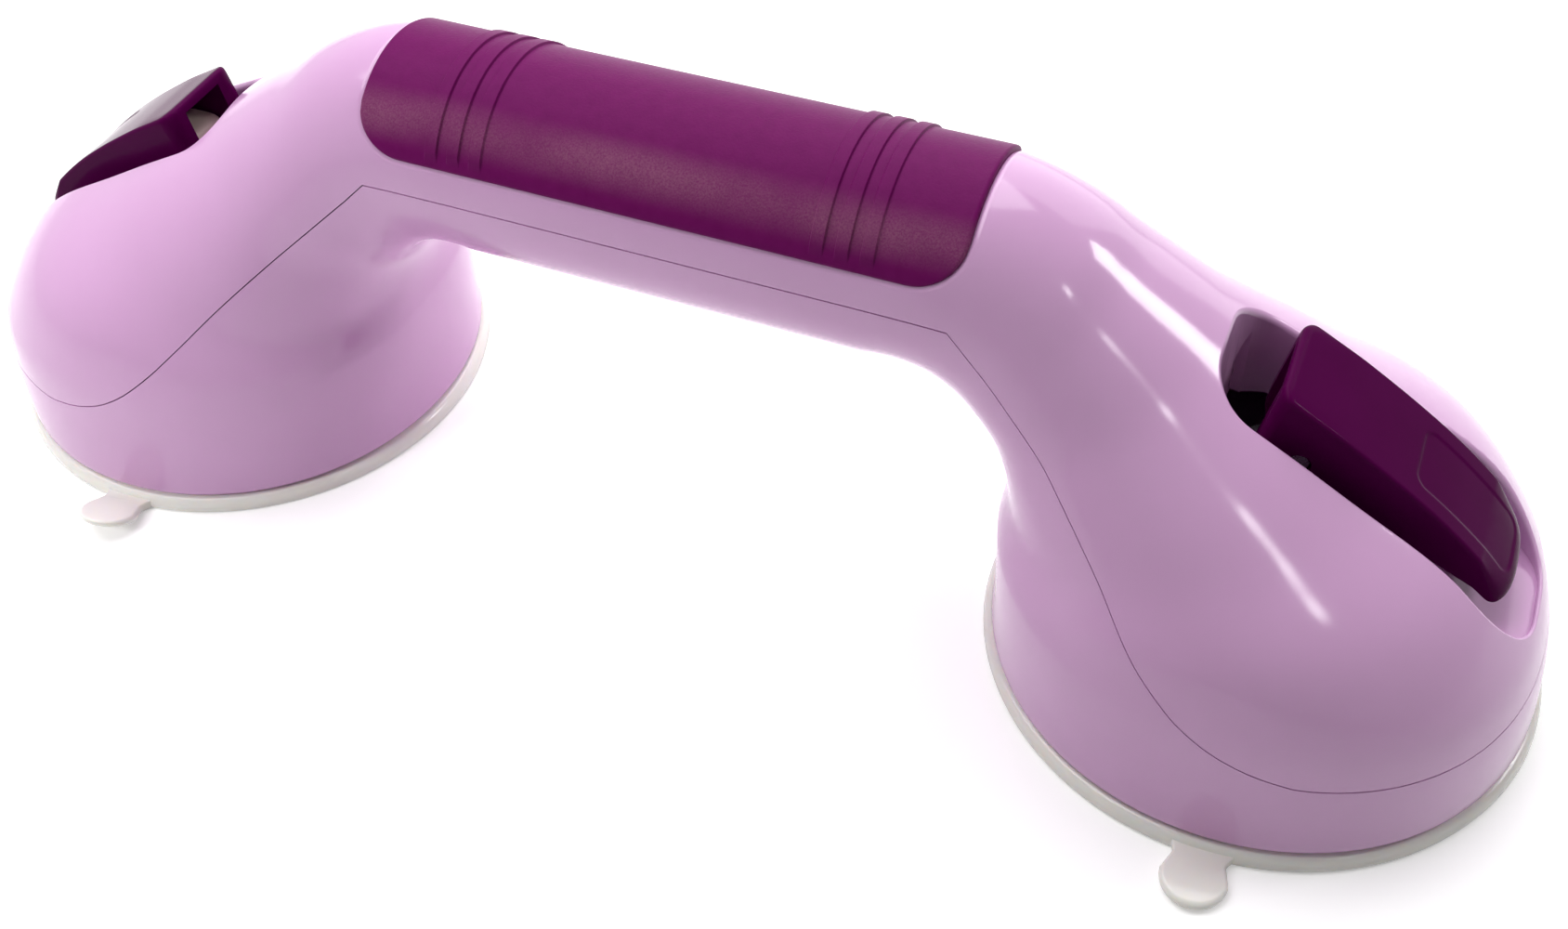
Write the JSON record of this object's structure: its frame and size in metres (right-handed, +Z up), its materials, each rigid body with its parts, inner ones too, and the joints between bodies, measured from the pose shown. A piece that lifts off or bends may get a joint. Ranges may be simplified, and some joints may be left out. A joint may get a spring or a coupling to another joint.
{
  "type": "suction grab bar",
  "caption": "Portable grab bar: a padded round handle on two domed feet, each with a suction cup drawn tight by a cam lever on top.",
  "frame": {"origin": "on the plane the cups stand on, under the middle of the part's box; the bar's own mid plane is 4.75 mm behind it because the pull tabs stick out in front", "axes": "+X along the handle towards the foot at the viewer's right, +Y away from the viewer, +Z up from the cups to the handle"},
  "size_m": [0.291, 0.1006, 0.0839],
  "materials": {
    "shell": "glossy moulded ABS, lavender",
    "grip": "satin soft-touch rubber, plum",
    "lever": "glossy moulded plastic, dark plum",
    "cup": "translucent cream thermoplastic rubber",
    "nylon": "cream nylon",
    "plate": "matte moulded plastic",
    "steel": "plated steel"
  },
  "bodies": {
    "housing": {"upper_shell": "shell", "lower_shell": "shell", "grip": "grip", "right_wear_plate": "steel", "left_wear_plate": "steel", "right_pressure_plate": "plate", "left_pressure_plate": "plate", "right_suction_cup": "cup", "left_suction_cup": "cup", "right_return_spring": "steel", "left_return_spring": "steel", "right_front_screw": "steel", "right_back_screw": "steel", "right_inner_screw": "steel", "left_front_screw": "steel", "left_back_screw": "steel", "left_inner_screw": "steel"},
    "right_draw_stem": {"right_stem": "nylon", "right_pivot_pin": "steel"},
    "left_draw_stem": {"left_stem": "nylon", "left_pivot_pin": "steel"},
    "right_cam_lever": {"right_lever": "lever"},
    "left_cam_lever": {"left_lever": "lever"}
  },
  "joints": [
    {"name": "right_stem_slide", "type": "slide", "parent": "housing", "child": "right_draw_stem", "axis": [0, 0, 1], "range_m": [-0.004, 0], "deforming": ["right_return_spring", "right_suction_cup"]},
    {"name": "left_stem_slide", "type": "slide", "parent": "housing", "child": "left_draw_stem", "axis": [0, 0, 1], "range_m": [-0.004, 0], "deforming": ["left_return_spring", "left_suction_cup"]},
    {"name": "right_lever_hinge", "type": "hinge", "parent": "right_draw_stem", "child": "right_cam_lever", "pos_m": [0.1, 0.00475, 0.05], "axis": [0, -1, 0], "range_deg": [0, 100]},
    {"name": "left_lever_hinge", "type": "hinge", "parent": "left_draw_stem", "child": "left_cam_lever", "pos_m": [-0.1, 0.00475, 0.05], "axis": [0, 1, 0], "range_deg": [0, 100]}
  ],
  "couplings": [
    {"joint": "right_stem_slide", "follows": "right_lever_hinge", "m_per_rad": -0.0022918},
    {"joint": "left_stem_slide", "follows": "left_lever_hinge", "m_per_rad": -0.0022918}
  ]
}
